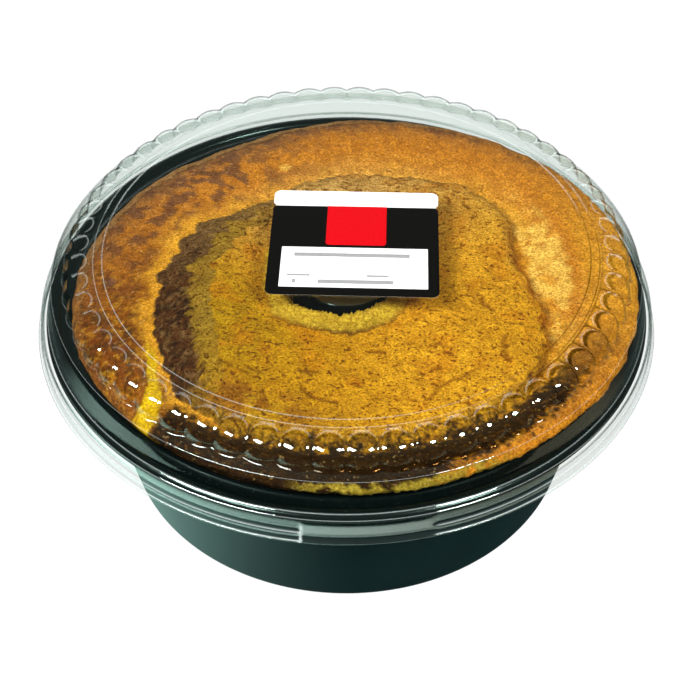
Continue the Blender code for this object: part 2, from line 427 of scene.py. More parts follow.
# %% Tub
TUB_LINE = (
    (0.0, 101.7), (20.5, 101.7), (22.6, 100.2), (30.5, 5.0), (33.0, 2.0), (90.0, 2.0), (93.0, 0.0),
    (102.0, 0.0), (105.5, 3.4), (121.3, 84.9), (122.0, 88.5), (123.4, 91.0), (125.6, 89.7),
    (129.3, 89.7), (130.3, 91.0), (133.9, 90.7), (134.9, 87.8),
)  # radius and height of the inner face, from the post's top to the rim's turned-down edge
TUB_STEPS = 240
TUB_CORNERS = 1.3  # how far from a corner its rounding begins
TUB_SHEET = 0.8

tub_sheet, _ = spin_line(rounded(TUB_LINE, TUB_CORNERS), TUB_STEPS)
tub = add_wall(finish_mesh("tub_shell", tub_sheet, tub_finish()), TUB_SHEET, 1.0)
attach(tub, "root")
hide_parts("tub", "tub_rim")
print("tub:", count_faces(tub), "triangles")

# %% [markdown]
# ## The cake: its outline
#
# The cake was torn from its own pan, so no two sides of it are alike: a raised plateau of open crumb
# with a ragged edge, a smooth golden ring below it, and a crust that leans over the rim of the tub.
# One outline is spun round, as for the tub, and then every vert is moved to where the outline
# stands at its own angle. That way the rows of the mesh run along the ragged edge, and the tear can
# be crisp without a dense mesh everywhere. The edges are short tables of angle and radius, which are
# easy to read and to change: the crust, the plateau, the bank's width, the hole, and the collar where
# the crumb came away with the post of the pan.


# %% Shape round the cake
def soft_step(low, high, value):
    """0 below low, 1 above high, and a soft ramp between them."""
    share = min(1.0, max(0.0, (value - low) / (high - low)))
    return share * share * (3.0 - 2.0 * share)


def bell(angle, centre, width):
    """A bell of height 1 round the cake, with centre and width in degrees."""
    off = (math.degrees(angle) - centre + 180.0) % 360.0 - 180.0
    return math.exp(-((off / width) ** 2))


def ragged(angle, size, seed):
    """Broken noise round a circle, about -1 to 1, with lumps of a given size in millimetres."""
    reach = 90.0 / size
    spot = Vector((reach * math.cos(angle), reach * math.sin(angle), seed))
    return noise.fractal(spot, 0.6, 2.1, 4)


def read_edge(table, angle):
    """The radius that a table of (degrees, millimetres) gives at an angle, with soft turns."""
    degrees = math.degrees(angle) % 360.0
    for (start, low), (end, high) in zip(table, table[1:]):
        if degrees <= end:
            return low + (high - low) * soft_step(start, end, degrees)
    return table[-1][1]


print("a bell at its centre and one width off:", [round(bell(0.0, off, 30.0), 2) for off in (0.0, 30.0)])

# %% Crust and plateau edges
CRUST_EDGE = (
    (0, 131.2), (15, 131.2), (32, 130), (50, 126.5), (70, 123.2), (90, 120.4), (101, 117), (116, 113.5),
    (129, 113.7), (139, 116), (151, 118), (164, 119.5), (180, 122.5), (200, 125.2), (225, 125.4),
    (240, 125.4), (270, 126.8), (290, 127.2), (315, 128), (330, 130), (345, 131), (360, 131.2),
)  # how far out the crust leans, in degrees and millimetres


def crust_radius(angle):
    """Outer edge of the crust, which leans over the rim on the right and falls short behind."""
    return read_edge(CRUST_EDGE, angle) + 0.8 * ragged(angle, 10.0, 7.0)


PLATEAU_EDGE = (
    (0, 79), (9, 78), (26, 84), (43, 83), (58, 75), (74, 70), (96, 67), (109, 65), (125, 61), (143, 68),
    (156, 78), (169, 80), (179, 83), (193, 86.6), (203, 91), (213, 94.5), (220, 99.6), (230, 106),
    (245, 109), (270, 110), (300, 110), (318, 108), (328, 102), (338, 94), (349, 85), (360, 79),
)  # how far out the torn crumb reaches, in degrees and millimetres


def plateau_radius(angle):
    """Ragged outer edge of the raised crumb, widest at the front and narrow behind."""
    depth = 1.5 + 1.2 * bell(angle, 185.0, 45.0)
    return read_edge(PLATEAU_EDGE, angle) + depth * ragged(angle, 9.0, 3.0)


BANK_WIDTH = (
    (0, 8), (60, 8), (110, 7), (124, 9), (136, 14), (150, 19), (165, 19), (180, 17), (195, 18),
    (210, 20), (226, 19), (238, 9), (250, 8.5), (360, 8),
)  # from the plateau's top to the bank's foot, in degrees and millimetres


def slope_width(angle):
    """Width of the bank between the plateau's top and its foot, broad and dark on the left."""
    return read_edge(BANK_WIDTH, angle) + 1.2 * ragged(angle, 14.0, 9.0)


FRONT = math.radians(270.0)
print("in front, in mm: crust", round(crust_radius(FRONT), 1), "plateau", round(plateau_radius(FRONT), 1))

# %% Hole and collar
HOLE_EDGE = (
    (0, 31), (180, 33), (220, 33), (230, 35.2), (242, 35), (254, 33.7), (268, 34), (281, 31.8),
    (297, 30.6), (318, 30.2), (360, 31),
)  # the crumb's edge round the post, in degrees and millimetres
COLLAR_EDGE = (
    (0, 35), (180, 37), (212, 41), (230, 47), (248, 45.4), (273, 46.2), (281, 45.2), (292, 43.4),
    (306, 40.6), (318, 37.2), (345, 35), (360, 35),
)  # how far the crumb is torn back from the hole, in degrees and millimetres


def collar_radius(angle):
    """Outer edge of the sloping collar where the crumb is torn back from the hole."""
    return read_edge(COLLAR_EDGE, angle) + 0.9 * ragged(angle, 7.0, 5.0)


print("in front, in mm: collar", round(collar_radius(FRONT), 1))

# %% One outline
STRIP = 8.0  # width of the olive strip of crumb above the bank's crust, in millimetres


def cake_outline(angle):
    """The closed outline of the cake at one angle, from the bottom of the hole round to its foot."""
    crust = crust_radius(angle) - 0.4
    foot = plateau_radius(angle)
    slope = slope_width(angle)
    top = foot - slope
    hole = read_edge(HOLE_EDGE, angle) + 1.2 * ragged(angle, 2.6, 1.0)
    torn = collar_radius(angle)
    ridge = bell(angle, 205.0, 42.0)
    middle = 0.55 * torn + 0.45 * top
    middle += (top - STRIP - middle) * ridge
    lip = 1.0 * bell(angle, 185.0, 50.0)
    within = min(0.0, crust - 2.0 - 120.5)
    return [
        (34.2, 3.2), (34.2, 60.0), (hole, 104.6), (torn, 107.2),
        (middle, 108.6 + 0.4 * ridge), (top, 108.9 - 1.4 * ridge), (foot - 0.35 * slope, 105.4),
        (foot, 101.4 + lip), (0.5 * (foot + crust) - 2.0, 102.6), (crust - 4.0, 100.6),
        (crust, 97.1), (crust - 2.0, 93.8), (120.6 + within, 93.0), (120.2 + within, 87.0),
        (105.0 + 0.6 * within, 7.5), (101.0, 3.2),
    ]


print("points in the cake's outline:", len(cake_outline(FRONT)))

# %% Rows between the outline's points
ROWS = (4, 5, 8, 26, 26, 8, 7, 12, 14, 9, 5, 2, 3, 6, 1, 2)  # after each point of the outline
CURVED = range(2, 11)  # stretches that bend smoothly; the others are straight


def cake_rows(angle):
    """The outline at one angle with its rows: (radius, height, stretch, share along the stretch)."""
    points = cake_outline(angle)
    count = len(points)
    made = []
    for stretch, steps in enumerate(ROWS):
        before, start, end, after = [points[(stretch + k) % count] for k in (-1, 0, 1, 2)]
        for step in range(steps):
            t = step / steps
            if stretch in CURVED:
                weights = (
                    0.5 * (-t + 2 * t * t - t ** 3), 0.5 * (2 - 5 * t * t + 3 * t ** 3),
                    0.5 * (t + 4 * t * t - 3 * t ** 3), 0.5 * (t ** 3 - t * t),
                )
            else:
                weights = (0.0, 1.0 - t, t, 0.0)
            nodes = list(zip(weights, (before, start, end, after)))
            radius = sum(w * p[0] for w, p in nodes)
            height = sum(w * p[1] for w, p in nodes)
            made.append((radius, height, stretch, t))
    return made


print("rows in the cake's outline:", len(cake_rows(0.0)))

# %% [markdown]
# ## The cake: its surface
#
# Four kinds of surface meet here. The torn crumb is open, with pits where bubbles were pulled apart
# and a few long tears, which are laid out one by one because the eye knows them again. The bank on
# the left is a dark crust that hangs over the golden skin. The skin is smooth and only slowly uneven.
# The front shoulder is scorched and rough. Each gets its own relief, pushed out or in along the
# outline's own normal, so that a pit goes straight into the surface wherever it lies.


# %% Crumb and pits
def crumb_share(stretch, share):
    """1 on the torn crumb, 0 on the skin and below, falling along the bank's last stretch."""
    if stretch in (2, 3, 4, 5):
        return 1.0
    if stretch == 6:
        return 1.0 - soft_step(0.75, 1.0, share)
    return 0.0


def pits(place, size, more=0.0):
    """Bubbles torn open, 0 to 1, a little longer than they are wide."""
    slant = Vector((place.x - 0.6 * place.y, place.y + 0.6 * place.x, place.z))
    stretched = Vector((slant.x / (1.5 * size), slant.y / (0.8 * size), slant.z / size))
    field = noise.noise(stretched) + 0.35 * noise.noise(stretched * 2.3)
    crowd = 0.5 + 0.5 * noise.noise(place * 0.045) + more
    return soft_step(0.56, 0.78, field + 0.20 * crowd)


print("pits in a row across the crumb:", [round(pits(Vector((x, -70.0, 108.0)), 2.2), 1) for x in range(9)])

# %% Tears in the crumb
CRACKS = (
    ((-18.4, -79.2), (-15.5, -83.7), (-10.6, -87.1), (-4.1, -88.3)),
    ((37.6, -80.3), (42.7, -76.3), (47.8, -74.0), (53.3, -70.5)),
    ((32.4, -87.1), (36.7, -83.2)), ((-19.1, -69.3), (-12.4, -71.0)), ((-41.6, -66.9), (-36.0, -69.9)),
    ((36.0, -69.9), (38.9, -68.7)), ((-52.6, -63.4), (-47.4, -66.9)), ((9.2, -58.0), (16.3, -58.6)),
    ((66.9, -49.4), (65.8, -58.0), (68.2, -65.1)), ((36.1, -54.9), (39.6, -52.5)),
    ((58.2, -25.4), (62.9, -33.1)),
)  # the longer tears of the front crumb, as points in millimetres


def crack_share(place):
    """How deep in one of the longer tears a point lies, 0 to 1."""
    near = 9.0
    for crack in CRACKS:
        for start, end in zip(crack, crack[1:]):
            begin = Vector(start)
            along = Vector(end) - begin
            share = min(1.0, max(0.0, (place.xy - begin).dot(along) / along.length_squared))
            near = min(near, (place.xy - begin - along * share).length)
    return soft_step(1.5, 0.4, near + 0.8 * noise.noise(place * 0.7))


def torn_open(angle, radius, place):
    """Pits of the crumb, crowded where the tear is rough, and the cracks between its layers."""
    rough = 1.2 * bell(angle, 50.0, 14.0) * soft_step(52.0, 60.0, radius)
    rough += 0.9 * bell(angle, 118.0, 34.0)
    rough += 0.6 * bell(angle, 350.0, 12.0) * soft_step(58.0, 70.0, radius)
    crack = abs(noise.noise(Vector((place.x * 0.05, place.y * 0.09, 4.0)) + 0.02 * place))
    crack = soft_step(0.035, 0.0, crack)
    crack *= soft_step(0.10, 0.35, noise.noise(place * 0.05 + Vector((9, 0, 0))))
    beyond = soft_step(-1.0, 3.0, radius - collar_radius(angle))
    return beyond * max(pits(place, 2.2, rough), 0.8 * crack, 0.8 * crack_share(place))


print("longer tears:", len(CRACKS))


# %% Relief of the top
def relief(angle, place, stretch, share):
    """How far a point of the top stands out, in millimetres."""
    if stretch < 2 or stretch > 11:
        return 0.0
    crumb = crumb_share(stretch, share)
    lumps = noise.fractal(place * 0.11, 0.7, 2.0, 4)
    torn = 0.7 * lumps - 0.8 * torn_open(angle, place.xy.length, place)
    if stretch == 2:
        torn = 0.9 * noise.fractal(place * 0.32, 0.5, 2.0, 4)
    if stretch in (5, 6):
        torn += (0.5 + 0.5 * bell(angle, 200.0, 50.0)) * noise.fractal(place * 0.28, 0.6, 2.1, 4)
    skin = 0.45 * noise.fractal(place * 0.07, 0.8, 2.0, 3)
    skin += 0.10 * noise.fractal(place * 0.5, 0.5, 2.0, 3)
    scorched = 0.55 * noise.fractal(place * 0.35, 0.5, 2.0, 4)
    front = soft_step(226.0, 236.0, math.degrees(angle) % 360.0)
    front *= 1.0 - soft_step(322.0, 336.0, math.degrees(angle) % 360.0)
    crust = skin + (scorched - skin) * front
    return crumb * torn + (1.0 - crumb) * crust


# %% [markdown]
# ## The cake: its colours
#
# Baking colours a cake by how near each part was to the heat, and here also by what was torn away.
# The broad fields are worked out point by point, from the angle and from the distance to the tear
# or to the crust, with noise in every border, and they are kept on the mesh as a colour attribute.
# The nodes then add what is finer than the mesh: grain, pores and flecks, painted shade that darkens the
# pores, pits and tears, and painted glints, tiny bright specks mostly on the crust.

# %% Colours of the bake
GOLD_CRUMB = paint(203, 143, 17)
PALE_CRUMB = paint(228, 164, 34)
TAN_CRUMB = paint(204, 158, 94)
OLIVE_CRUMB = paint(180, 137, 14)
STRIP_OLIVE = paint(146, 114, 38)
BANK_BROWN = paint(82, 47, 19)
BANK_GREY = paint(128, 96, 60)
SKIN_GOLD = paint(232, 164, 42)
SKIN_ORANGE = paint(216, 136, 34)
SKIN_BROWN = paint(142, 97, 60)
SKIN_PLUM = paint(110, 70, 52)
SKIN_RUST = paint(118, 58, 3)
EDGE_ORANGE = paint(204, 122, 12)
EDGE_TAN = paint(168, 124, 78)
CREAM = paint(255, 200, 96)
SKIN_PALE = paint(228, 168, 92)
TOASTED = paint(156, 100, 20)
SCORCHED = paint(20, 12, 6)
SCORCHED_WARM = paint(84, 50, 10)
YELLOW = paint(232, 188, 16)
GREEN_YELLOW = paint(172, 148, 52)
COLLAR_GOLD = paint(208, 152, 26)
HOLE_YELLOW = paint(200, 164, 48)


def blend(first, second, share):
    """A colour part of the way from the first to the second."""
    share = min(1.0, max(0.0, share))
    return tuple(a + (b - a) * share for a, b in zip(first, second))


def field(place, size, seed):
    """Soft noise from 0 to 1 with patches of a given size in millimetres."""
    return 0.5 + 0.6 * noise.fractal(place / size + Vector((seed, 2.0 * seed, 0.0)), 0.7, 2.0, 3)


print("one patch of noise:", [round(field(Vector((x, 0.0, 0.0)), 8.0, 4.0), 2) for x in range(0, 40, 8)])


# %% Crumb and bank
def crumb_colour(angle, radius, place):
    """Torn crumb: golden in front, paler on the right, tan behind and olive on the left."""
    pale = bell(angle, 10.0, 38.0) + 0.9 * bell(angle, 298.0, 28.0)
    colour = blend(GOLD_CRUMB, PALE_CRUMB, pale * 0.9)
    colour = blend(colour, TAN_CRUMB, 0.95 * bell(angle, 95.0, 60.0))
    colour = blend(colour, OLIVE_CRUMB, 0.9 * bell(angle, 215.0, 38.0) * soft_step(38.0, 56.0, radius))
    colour = blend(colour, EDGE_ORANGE, 0.4 * soft_step(0.55, 0.8, field(place, 14.0, 5.0)))
    top = plateau_radius(angle) - slope_width(angle)
    ridge = top - STRIP + 1.6 * (field(place, 6.0, 21.0) - 0.5)
    strip = soft_step(-0.5, 0.5, radius - ridge) * min(1.0, 1.3 * bell(angle, 186.0, 50.0))
    colour = blend(colour, STRIP_OLIVE, 0.9 * strip)
    near_right = bell(angle, 352.0, 26.0) * soft_step(7.0, 1.0, plateau_radius(angle) - radius)
    colour = blend(colour, EDGE_ORANGE, 0.8 * near_right)
    toasted = bell(angle, 247.0, 17.0) * soft_step(13.0, 4.0, abs(radius - 96.0))
    return blend(colour, TOASTED, 1.2 * toasted * soft_step(0.28, 0.58, field(place, 8.0, 22.0)))


BANK_SHARE = (
    (0, 0.2), (30, 0.25), (62, 0.4), (105, 0.45), (135, 0.6), (152, 0.85), (165, 1), (228, 1),
    (236, 0.3), (250, 0), (330, 0), (360, 0.2),
)  # how dark the bank is, in degrees and share


def bank_colour(angle, place, down):
    """The bank's dark crust, brown on the left, greyer behind, and its share over the crumb."""
    dark = read_edge(BANK_SHARE, angle)
    edge = soft_step(0.02, 0.14, down + 0.3 * (field(place, 4.0, 3.0) - 0.5))
    hue = blend(BANK_GREY, BANK_BROWN, bell(angle, 211.0, 41.0) * 1.25)
    deep = soft_step(0.45, 0.7, field(place, 5.0, 8.0)) * bell(angle, 205.0, 40.0)
    hue = blend(hue, SCORCHED, 0.65 * deep)
    light = soft_step(0.58, 0.72, field(place, 2.4, 31.0))
    return blend(hue, BANK_GREY, 0.6 * light), dark * edge


print("share of the dark bank, left and right:", [read_edge(BANK_SHARE, math.radians(d)) for d in (200, 0)])

# %% Skin
SPOTS = (
    (184.5, 105.9, 3.6, SKIN_PLUM), (111.5, 81.9, 3.0, CREAM), (150.0, 97.0, 2.6, SKIN_PLUM),
    (196.0, 113.0, 4.0, SCORCHED_WARM), (3.0, 101.0, 2.4, EDGE_ORANGE),
)  # single marks on the skin: degrees, radius, size in millimetres and colour


def skin_colour(angle, radius, place):
    """Smooth crust: gold by the tear, orange further out, brown and plum behind, rust on the left."""
    out = radius - plateau_radius(angle)
    rim = crust_radius(angle) - radius
    patch = field(place, 9.0, 2.0)
    broken = field(place, 4.0, 12.0)
    colour = blend(SKIN_GOLD, SKIN_ORANGE, soft_step(1.0, 14.0, out + 10.0 * (patch - 0.5)))
    colour = blend(colour, SKIN_PALE, 0.5 * bell(angle, 92.0, 46.0) * soft_step(18.0, 5.0, out))
    behind = bell(angle, 126.0, 68.0)
    colour = blend(colour, SKIN_BROWN, behind * soft_step(22.0, 4.0, rim + 14.0 * (patch - 0.5)))
    plum = bell(angle, 150.0, 40.0) + 0.7 * bell(angle, 75.0, 38.0) * soft_step(14.0, 5.0, rim)
    spots = soft_step(0.50, 0.62, field(place, 8.0, 7.0) + 0.12 * (broken - 0.5))
    colour = blend(colour, SKIN_PLUM, min(0.85, plum * (0.2 + spots)) * soft_step(3.0, 12.0, out))
    left = bell(angle, 206.0, 33.0) * soft_step(-1.0, 9.0, out + 9.0 * (patch - 0.5))
    colour = blend(colour, SKIN_RUST, 0.95 * left)
    colour = blend(colour, SCORCHED_WARM, 0.85 * left * soft_step(0.52, 0.66, field(place, 4.5, 14.0)))
    colour = blend(colour, SKIN_GOLD, 0.4 * left * soft_step(0.62, 0.76, field(place, 3.0, 33.0)))
    colour = blend(colour, EDGE_ORANGE, bell(angle, 352.0, 24.0) * soft_step(5.0, 0.0, out))
    turned = bell(angle, 120.0, 62.0)
    colour = blend(colour, SCORCHED_WARM, 0.8 * turned * soft_step(7.2, 6.0, rim + 2.0 * (broken - 0.5)))
    colour = blend(colour, EDGE_TAN, 0.9 * turned * soft_step(5.6, 4.8, rim + 2.0 * (broken - 0.5)))
    colour = blend(colour, SKIN_GOLD, 0.8 * bell(angle, 2.0, 26.0) * soft_step(102.0, 110.0, radius))
    cream = bell(angle, 4.0, 23.0) * soft_step(12.0, 7.0, abs(radius - 91.5))
    cream += 0.5 * bell(angle, 340.0, 12.0) * soft_step(10.0, 4.0, abs(radius - 103.0))
    cream += 0.25 * bell(angle, 30.0, 14.0) * soft_step(9.0, 3.0, abs(radius - 98.0))
    cream += 0.40 * bell(angle, 75.0, 25.0) * soft_step(9.0, 3.0, abs(out - 14.0))
    cream *= 0.30 + 1.15 * field(place, 8.0, 4.0) + 0.35 * (broken - 0.5)
    colour = blend(colour, CREAM, 0.35 * cream + 0.6 * soft_step(0.42, 0.68, cream))
    for degrees, middle, size, hue in SPOTS:
        turn = math.radians(degrees)
        spot = Vector((middle * math.cos(turn), middle * math.sin(turn)))
        far = (place.xy - spot).length + 1.5 * (broken - 0.5)
        colour = blend(colour, hue, 0.85 * soft_step(size, 0.5 * size, far))
    return colour


print("single marks:", len(SPOTS))

# %% Burnt shoulder
SCORCH_INNER = (
    (229, 111), (234, 109), (250, 108.5), (262, 107), (282, 107), (292, 107), (314, 108), (326, 108.5),
    (336, 111), (346, 117),
)  # where the burnt shoulder begins, in degrees and millimetres
SCORCH_OUTER = ((280, 136), (291, 123), (309, 122), (325, 122), (340, 124.5))  # and where it ends


def scorch_share(angle, radius, place):
    """How burnt the front shoulder is, 0 to 1."""
    degrees = math.degrees(angle) % 360.0
    edge = 4.0 * (field(place, 5.0, 6.0) - 0.5)
    fray = edge + 5.0 * (field(place, 1.8, 26.0) - 0.5)
    start = soft_step(228.5, 231.0, degrees + 0.5 * edge)
    front = start * (1.0 - soft_step(318.0, 350.0, degrees + 2.0 * edge))
    begun = soft_step(-2.0, 3.0, radius + fray - read_edge(SCORCH_INNER, angle))
    ended = soft_step(-2.0, 2.0, radius + fray - read_edge(SCORCH_OUTER, angle))
    return front * begun * (1.0 - ended)


print("the burnt shoulder begins, in mm:", [radius for _, radius in SCORCH_INNER])


# %% One point's colour
def baked_colour(angle, radius, height, place, stretch, share):
    """The broad colour of one point of the cake."""
    if stretch == 2:
        return HOLE_YELLOW
    if stretch in (3, 4, 5, 6):
        colour = crumb_colour(angle, radius, place)
        rim = radius - collar_radius(angle) + 1.2 * (field(place, 3.0, 15.0) - 0.5)
        hue = blend(COLLAR_GOLD, HOLE_YELLOW, bell(angle, 234.0, 26.0) * 1.1)
        hue = blend(hue, CREAM, 0.3 * soft_step(0.55, 0.75, field(place, 3.0, 35.0)))
        colour = blend(colour, hue, 0.85 * soft_step(0.4, -0.6, rim))
        front = bell(angle, 272.0, 48.0)
        colour = blend(colour, BANK_BROWN, 0.85 * front * soft_step(1.1, 0.3, abs(rim - 0.4)))
        if stretch in (5, 6):
            down = 0.5 * share if stretch == 5 else 0.5 + 0.5 * share
            hue, cover = bank_colour(angle, place, down)
            colour = blend(colour, hue, cover)
    elif stretch in (7, 8, 9, 10, 11):
        colour = skin_colour(angle, radius, place)
    else:
        colour = SKIN_GOLD
    burnt = scorch_share(angle, radius, place)
    deep = 1.0 - 0.9 * bell(angle, 272.0, 44.0) * soft_step(106.0, 111.0, radius)
    hue = blend(SCORCHED, SCORCHED_WARM, 0.6 * deep * soft_step(0.56, 0.76, field(place, 3.5, 9.0)))
    hue = blend(hue, TOASTED, 0.55 * deep * soft_step(0.72, 0.82, field(place, 1.6, 27.0)))
    colour = blend(colour, hue, 0.97 * burnt)
    degrees = math.degrees(angle) % 360.0
    edge = 3.0 * (field(place, 5.0, 16.0) - 0.5)
    middle = 227.6 - 0.3 * max(0.0, 121.0 - radius) - 0.7 * max(0.0, 110.0 - radius)
    off = abs(degrees - middle) * radius * math.pi / 180.0 + edge
    colour = blend(colour, YELLOW, 0.9 * soft_step(5.6, 4.0, off) * soft_step(94.0, 99.0, radius + edge))
    low = soft_step(2.8, 1.6, crust_radius(angle) - radius + 2.4 * (field(place, 4.0, 28.0) - 0.5))
    low *= soft_step(258.0, 266.0, degrees) * (1.0 - soft_step(294.0, 306.0, degrees))
    low *= soft_step(90.0, 92.0, height)
    return blend(colour, GREEN_YELLOW, 0.85 * low * soft_step(0.26, 0.40, field(place, 5.0, 29.0)))


# %% Cake finish
SLANT = (0.0, 0.0, math.radians(35.0))  # the torn pores lie slantwise


def cake_finish():
    """Baked colours with grain, pores darkened with painted shade, painted glints on the crust and a faint
    gloss where the crust is smooth.
    """
    made, shader, wires = new_finish("baked_cake")
    place = own_place(wires)
    baked = wires.node("Attribute", {"attribute_name": "baked"}, {}, output=0)
    crumb = noted(wires, "crumb")
    depth = noted(wires, "pit")
    slant = wires.node("Mapping", {}, {"Vector": place, "Rotation": SLANT, "Scale": (0.8, 1.15, 1.0)})
    grain = speckle(wires, place, 1000.0, 3.0, 0.6).step(0.34, 0.66)
    mottle = speckle(wires, place, 190.0, 3.0, 0.6).step(0.36, 0.64)
    pores = speckle(wires, slant, 680.0, 2.0, 0.5).step(0.62, 0.66)
    holes = speckle(wires, slant, 340.0, 2.0, 0.5).step(0.635, 0.67)
    openings = 1.0 - (1.0 - pores) * (1.0 - depth) * (1.0 - 0.9 * holes)
    flecks = speckle(wires, place, 420.0, 2.0).step(0.62, 0.69) * (1.0 - crumb)
    # painted glints: tiny bright specks, mostly on the crust, are added to the colour as glints of the
    # light
    painted_glints = speckle(wires, place, 560.0, 1.0).step(0.66, 0.72) * (1.0 - 0.7 * crumb)
    times = {"operation": "MULTIPLY"}
    shades = grain.between((0.66, 0.57, 0.38), (1.20, 1.20, 1.14))
    fine = wires.node("VectorMath", times, {0: baked, 1: shades})
    tone = mottle.between((0.84, 0.79, 0.68), (1.08, 1.09, 1.08))
    # painted shade: pores, pits and tears are coloured darker, as shade lies in them
    tone = (openings * (0.15 + 0.85 * crumb)).between(tone, (0.36, 0.24, 0.10))
    tone = flecks.between(tone, (0.62, 0.50, 0.40))
    toned = wires.node("VectorMath", times, {0: fine, 1: tone})
    painted_glint_colour = painted_glints.between((0.0, 0.0, 0.0), (0.16, 0.10, 0.04))
    join(wires.node("VectorMath", {"operation": "ADD"}, {0: toned, 1: painted_glint_colour}), shader, "Base Color")
    join(0.50 + 0.40 * crumb + 0.10 * grain, shader, "Roughness")
    height = grain * 0.8 - openings * crumb * 1.3 + mottle * 0.6
    bump = wires.node("Bump", {}, {"Strength": 0.7, "Distance": 0.0006, "Height": height})
    join(bump, shader, "Normal")
    shader.inputs["Specular IOR Level"].default_value = 0.06
    return made


# %% Cake
CAKE_TOP = 109.6  # no crumb stands higher than this, in millimetres
CAKE_STEPS = 640


def make_cake(steps):
    """Spins the outline, moves every vert to its own angle's outline and notes its colour."""
    line = [(r, z) for r, z, _, _ in cake_rows(0.0)]
    shape, row = spin_line(line, steps, closed=True)
    baked = shape.verts.layers.float_color.new("baked")
    crumb = shape.verts.layers.float.new("crumb")
    pit = shape.verts.layers.float.new("pit")
    known = {}
    for vert in shape.verts:
        angle = math.atan2(vert.co.y, vert.co.x)
        slot = round(angle * steps / (2.0 * math.pi)) % steps
        if slot not in known:
            known[slot] = cake_rows(angle)
        rows = known[slot]
        number = vert[row]
        radius, height, stretch, share = rows[number]
        before = rows[number - 1]
        after = rows[(number + 1) % len(rows)]
        along = Vector((after[0] - before[0], after[1] - before[1]))
        outward = Vector((-along.y, along.x)).normalized()
        place = Vector((radius * math.cos(angle), radius * math.sin(angle), height))
        push = relief(angle, place, stretch, share)
        colour = baked_colour(angle, radius, height, place, stretch, share)
        vert[baked] = (*colour, 1.0)
        open_share = soft_step(-0.5, 1.5, radius - collar_radius(angle)) * 0.8 + 0.2
        open_share *= 1.0 - 0.6 * scorch_share(angle, radius, place)
        vert[crumb] = crumb_share(stretch, share) * open_share
        vert[pit] = torn_open(angle, radius, place) if stretch in (3, 4, 5, 6) else 0.0
        radius += push * outward.x
        height = min(CAKE_TOP, height + push * outward.y)
        vert.co = (radius * math.cos(angle) * MM, radius * math.sin(angle) * MM, height * MM)
    return shape


cake = finish_mesh("cake_body", make_cake(CAKE_STEPS), cake_finish())
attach(cake, "root")
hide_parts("cake")
print("cake:", count_faces(cake), "triangles")

# %% [markdown]
# ## The clear lid
#
# The lid is drawn from clear sheet, with a flat top, two fine steps, a row of 58 soft lobes, a shelf,
# a wall, a ledge that sits on the rim and a skirt that grips it. The lobes are pillows with sharp
# creases between them. They are not modelled one by one: every point of the spun line knows where it
# would lie on a crest and where in a crease, and each vert takes its place between the two.
#
# Clear sheet shows by its bends. Each bend catches the light in a thin bright line, and the inner end of
# each lobe catches it in a short arc; these are painted highlights. Such lines are noted on the mesh,
# "bend" for the bends and "arc" for the distance to the arcs, and the finish paints them a milky white.
# Under each arc the lobe bends the light away, and a dark crescent of painted shade lies there, strongest
# where the black rim is behind it ("shade"); the same painted shade darkens the creases, the fine steps on
# the right and the foot of the lobes in front. Tracing true glass through two walls would cost far more
# time and would give grain instead of clean lines.

# %% Lid line
TOP_LINE = (
    (0.0, 119.4), (40.0, 119.4), (80.0, 119.4), (104.0, 119.4), (106.5, 119.4), (107.1, 119.25),
    (107.6, 118.95), (108.3, 118.85), (110.6, 118.85), (111.2, 118.75), (111.6, 118.4), (112.1, 118.25),
)
LOBE_CRESTS = (
    (112.9, 118.35), (113.7, 118.85), (114.9, 119.1), (116.8, 119.2), (118.9, 119.0), (121.0, 118.5),
    (122.9, 117.5), (124.4, 116.0), (125.3, 114.2), (125.8, 112.4), (126.1, 110.7), (126.2, 109.4),
    (126.5, 108.6), (127.0, 108.36),
)
LOBE_CREASES = (
    (112.9, 118.25), (113.7, 118.35), (114.85, 118.3), (116.7, 118.1), (118.7, 117.75), (120.6, 117.2),
    (122.2, 116.1), (123.2, 114.6), (123.7, 113.0), (124.0, 111.5), (124.2, 110.2), (124.4, 109.2),
    (124.7, 108.55), (125.3, 108.36),
)
WALL_LINE = (
    (129.2, 108.35), (130.6, 108.4), (130.9, 108.32), (131.1, 108.2), (131.3, 107.9), (132.4, 102.7),
    (133.4, 97.8),
    (134.15, 94.0), (134.5, 93.2), (135.2, 92.85), (136.6, 92.6), (137.2, 92.3), (137.5, 91.7),
)
SKIRT_LINE = ((137.7, 88.6), (137.4, 87.7), (136.95, 87.2), (137.2, 86.2), (138.2, 85.0), (138.6, 84.3),
              (138.5, 83.6), (138.35, 82.9), (138.9, 82.2), (139.6, 81.6), (140.0, 81.1))
TAB_LINE = ((138.0, 88.6), (138.1, 87.7), (138.2, 87.0), (138.3, 86.2), (138.4, 85.4), (138.3, 84.6),
            (138.0, 84.0), (138.2, 83.2), (138.8, 82.4), (139.5, 81.7), (140.0, 81.1))
LOBES = 58
ARC_TOP = 114.2  # where the painted bright arc at the inner end of a lobe stands, in millimetres
ARC_DROP = 4.6  # how much further out its two ends are
LOBE_FOOT = 10  # the row of a lobe's line from which its foot begins
LID_STEPS = LOBES * 10
LID_SHEET = 0.4
LID_LINE = [*TOP_LINE, *LOBE_CRESTS, *WALL_LINE, *SKIRT_LINE]
BENDS = {
    6: 0.8, 10: 0.8, 24: 0.66, 29: 0.9, 34: 0.8, 37: 0.8, 40: 0.8, 43: 0.8, 45: 0.7, 48: 1.0,
}  # how bright the painted highlight line is along some rows of its line
TAB_SIDES = (-97.5, -75.2)  # where the skirt's tab begins and ends, in degrees
TAB_ROWS = 7  # rows of the skirt that get a painted highlight along the tab
print("rows in the lid's line:", len(LID_LINE))


